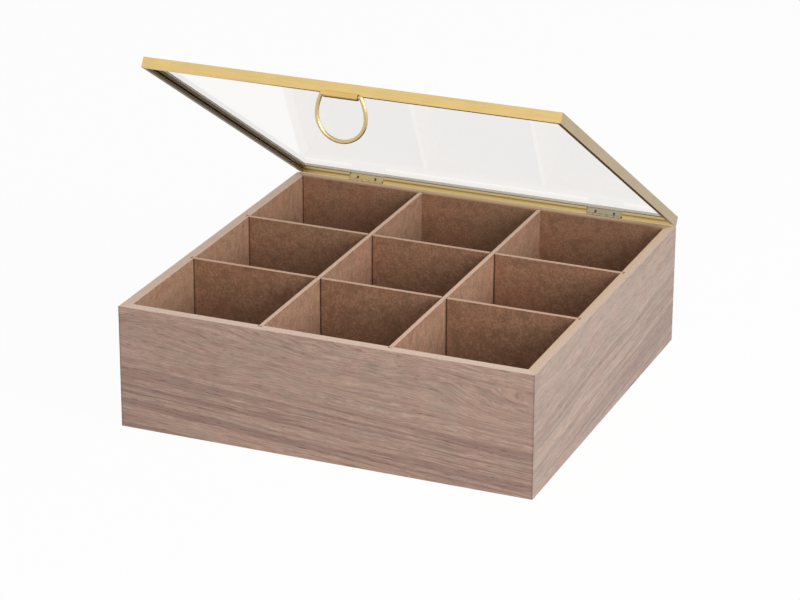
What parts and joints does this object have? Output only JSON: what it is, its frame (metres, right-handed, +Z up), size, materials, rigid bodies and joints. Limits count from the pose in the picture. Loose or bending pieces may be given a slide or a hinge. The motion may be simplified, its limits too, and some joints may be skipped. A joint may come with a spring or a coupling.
{
  "type": "divided keeper box with glazed lid",
  "caption": "Low square veneered wooden box divided into equal compartments, with a hinged brass-framed glass lid lifted by a hanging ring pull.",
  "frame": {"origin": "centre of the box's underside, on the table", "axes": "+X to the right along the front, +Y from the front to the hinged back, +Z up"},
  "size_m": [0.24, 0.2412, 0.2015],
  "materials": {
    "wall_board": "fibreboard with a pale eased rim, stained brown inside",
    "veneer": "walnut veneer, open grained, matt",
    "stained_board": "stained fibreboard, matt, with pale top edges",
    "brass": "brushed",
    "hinge_metal": "plated, satin",
    "screw_metal": "plated, dull",
    "glass": "clear, polished"
  },
  "bodies": {
    "box": {"front_wall": "wall_board", "rear_wall": "wall_board", "left_wall": "wall_board", "right_wall": "wall_board", "front_veneer": "veneer", "rear_veneer": "veneer", "left_veneer": "veneer", "right_veneer": "veneer", "base_panel": "stained_board", "divider_long_left": "stained_board", "divider_long_right": "stained_board", "divider_cross_front": "stained_board", "divider_cross_rear": "stained_board", "hinge_left_wall_leaf": "hinge_metal", "hinge_right_wall_leaf": "hinge_metal", "hinge_left_pin": "hinge_metal", "hinge_right_pin": "hinge_metal", "hinge_wall_screws": "screw_metal"},
    "lid": {"lid_front_rail": "brass", "lid_rear_rail": "brass", "lid_left_rail": "brass", "lid_right_rail": "brass", "glass_pane": "glass", "hinge_left_lid_leaf": "hinge_metal", "hinge_right_lid_leaf": "hinge_metal", "hinge_lid_screws": "screw_metal", "pull_sleeve": "brass"},
    "ring": {"pull_ring": "brass"}
  },
  "joints": [
    {"name": "lid_hinge", "type": "hinge", "parent": "box", "child": "lid", "pos_m": [0, 0.1181, 0.0707], "axis": [-1, 0, 0], "range_deg": [-31.75, 58.25]},
    {"name": "ring_swing", "type": "hinge", "parent": "lid", "child": "ring", "pos_m": [-0.0017, -0.08624, 0.19621], "axis": [-1, 0, 0], "range_deg": [-58.25, 31.75]}
  ],
  "couplings": [
    {"joint": "ring_swing", "follows": "lid_hinge", "ratio": -1}
  ]
}
